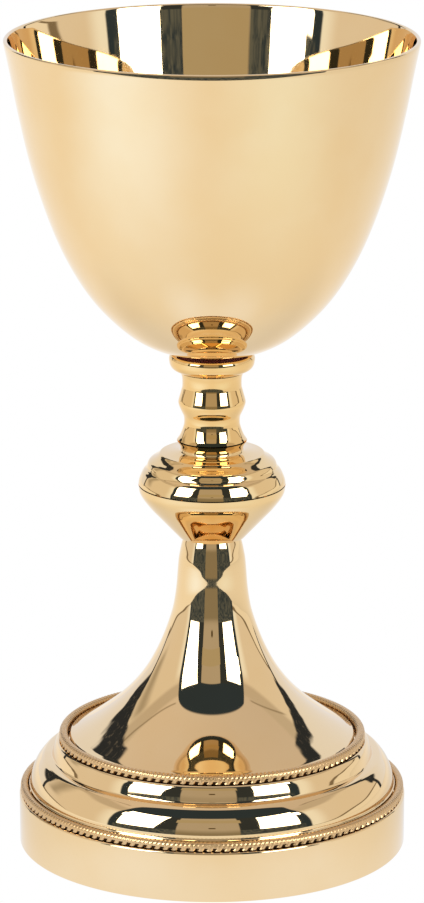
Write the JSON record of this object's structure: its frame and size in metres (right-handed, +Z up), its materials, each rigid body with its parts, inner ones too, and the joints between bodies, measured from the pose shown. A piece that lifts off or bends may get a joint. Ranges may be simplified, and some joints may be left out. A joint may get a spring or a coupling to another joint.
{
  "type": "communion chalice",
  "caption": "Footed drinking cup for church use: spun tapering bowl on a short neck, double-cone knop and flared round foot with beaded mouldings; the bowl unscrews from the stem.",
  "frame": {"origin": "centre of the underside of the foot, on the surface it stands on", "axes": "+Z up along the stem towards the rim of the cup; the object is round about Z"},
  "size_m": [0.102, 0.102, 0.206],
  "materials": {
    "gilt_mirror": "mirror-polished gold plate",
    "gilt_soft_polish": "soft-polished gold plate",
    "gilt_beading": "gold-plated beading",
    "plain_brass": "turned, unplated",
    "zinc_steel": "zinc plated",
    "leather": "matt"
  },
  "bodies": {
    "stem_and_foot": {"foot_drum": "gilt_soft_polish", "lower_bead_ring": "gilt_beading", "step_moulding": "gilt_mirror", "upper_bead_ring": "gilt_beading", "foot_flare": "gilt_mirror", "base_plate": "plain_brass", "column_plug": "plain_brass", "flat_washer": "zinc_steel", "spring_washer": "zinc_steel", "column_nut": "zinc_steel", "tie_rod": "zinc_steel", "knop_lower": "gilt_mirror", "knop_upper": "gilt_mirror", "knop_spacer": "plain_brass", "neck_sleeve": "gilt_mirror", "neck_nut": "zinc_steel", "collar": "gilt_mirror"},
    "washer": {"seal_washer": "leather"},
    "cup": {"cup_bowl": "gilt_soft_polish", "cup_boss": "plain_brass"}
  },
  "joints": [
    {"name": "cup_rise", "type": "slide", "parent": "stem_and_foot", "child": "washer", "axis": [0, 0, 1], "range_m": [0, 0.01]},
    {"name": "cup_turn", "type": "hinge", "parent": "washer", "child": "cup", "pos_m": [0, 0, 0.128], "axis": [0, 0, 1], "range_deg": [0, 3600]}
  ],
  "couplings": [
    {"joint": "cup_rise", "follows": "cup_turn", "m_per_rad": 0.00015915}
  ]
}
